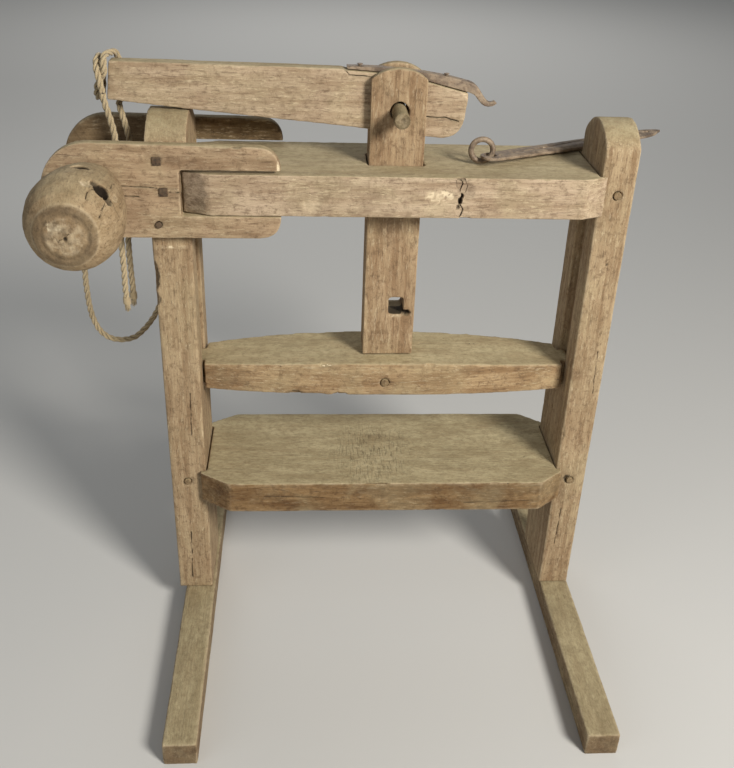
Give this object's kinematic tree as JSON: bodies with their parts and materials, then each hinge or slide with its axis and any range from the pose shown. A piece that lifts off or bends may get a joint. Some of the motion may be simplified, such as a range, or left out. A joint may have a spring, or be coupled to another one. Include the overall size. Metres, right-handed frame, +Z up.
{
  "type": "lever and windlass press",
  "caption": "Small oak press: posts on sled feet, bed board, head beam, sliding ram with follower, lever with iron hook, rope windlass, ring link.",
  "frame": {"origin": "middle of the bounding box on the floor, under the press; the ram's axis is 16 mm to +X of it", "axes": "+Z up; +X from the windlass end of the lever to its hook end; +Y from the windlass's barrel head towards the back"},
  "size_m": [0.869, 0.75, 0.8616],
  "materials": {
    "foot_oak": "dry unvarnished oak, dark with dirt",
    "post_oak": "dry unvarnished oak, grey-brown",
    "rail_oak": "dry unvarnished oak, grey on top",
    "ram_oak": "dry unvarnished oak, grey-brown",
    "peg_oak": "dark riven oak",
    "lever_oak": "dry unvarnished oak, rubbed",
    "cheek_oak": "dry unvarnished oak",
    "windlass_elm": "handled, olive-brown and rubbed",
    "forged_iron": "hand-forged iron, brown with rust",
    "hemp_rope": "three-strand hemp, dry"
  },
  "bodies": {
    "frame": {"left_foot": "foot_oak", "right_foot": "foot_oak", "left_post": "post_oak", "right_post": "post_oak", "bed_board": "rail_oak", "head_beam": "rail_oak", "bed_peg_left": "peg_oak", "bed_peg_right": "peg_oak", "beam_peg_left": "peg_oak", "beam_peg_right": "peg_oak", "front_cheek": "cheek_oak", "rear_cheek": "cheek_oak", "front_cheek_nail_1": "forged_iron", "front_cheek_nail_2": "forged_iron", "front_cheek_nail_3": "forged_iron", "rear_cheek_nail_1": "forged_iron", "rear_cheek_nail_2": "forged_iron", "rear_cheek_nail_3": "forged_iron", "slack_rope": "hemp_rope"},
    "ram": {"ram": "ram_oak", "follower": "ram_oak", "follower_peg": "peg_oak"},
    "lever": {"lever": "lever_oak", "lever_hook": "forged_iron", "hook_nail_1": "forged_iron", "hook_nail_2": "forged_iron", "lever_hitch": "hemp_rope"},
    "hanging_rope": {"rope_front": "hemp_rope", "rope_rear": "hemp_rope"},
    "lever_pin": {"lever_pin": "peg_oak"},
    "windlass": {"windlass": "windlass_elm", "windlass_peg": "peg_oak", "windlass_wraps": "hemp_rope"},
    "link": {"link_bar": "forged_iron"},
    "ring": {"link_ring": "forged_iron"}
  },
  "joints": [
    {"name": "ram_slide", "type": "slide", "parent": "frame", "child": "ram", "axis": [0, 0, 1], "range_m": [0, 0.225]},
    {"name": "lever_tilt", "type": "hinge", "parent": "ram", "child": "lever", "pos_m": [0.017, 0, 0.7962], "axis": [0, 1, 0], "range_deg": [0, 22]},
    {"name": "rope_hang", "type": "hinge", "parent": "lever", "child": "hanging_rope", "pos_m": [-0.351, 0, 0.8], "axis": [0, 1, 0], "range_deg": [-22, 0]},
    {"name": "pin_slide", "type": "slide", "parent": "ram", "child": "lever_pin", "axis": [0, -1, 0], "range_m": [0, 0.11]},
    {"name": "windlass_spin", "type": "hinge", "parent": "frame", "child": "windlass", "pos_m": [-0.37, 0, 0.7056], "axis": [0, 1, 0], "continuous": true},
    {"name": "link_away", "type": "slide", "parent": "frame", "child": "link", "axis": [0, 1, 0], "range_m": [0, 0.15]},
    {"name": "ring_spin", "type": "hinge", "parent": "link", "child": "ring", "pos_m": [0.1295, -0.018, 0.7471], "axis": [0, 1, 0], "continuous": true}
  ],
  "couplings": [
    {"joint": "rope_hang", "follows": "lever_tilt", "ratio": -1}
  ]
}
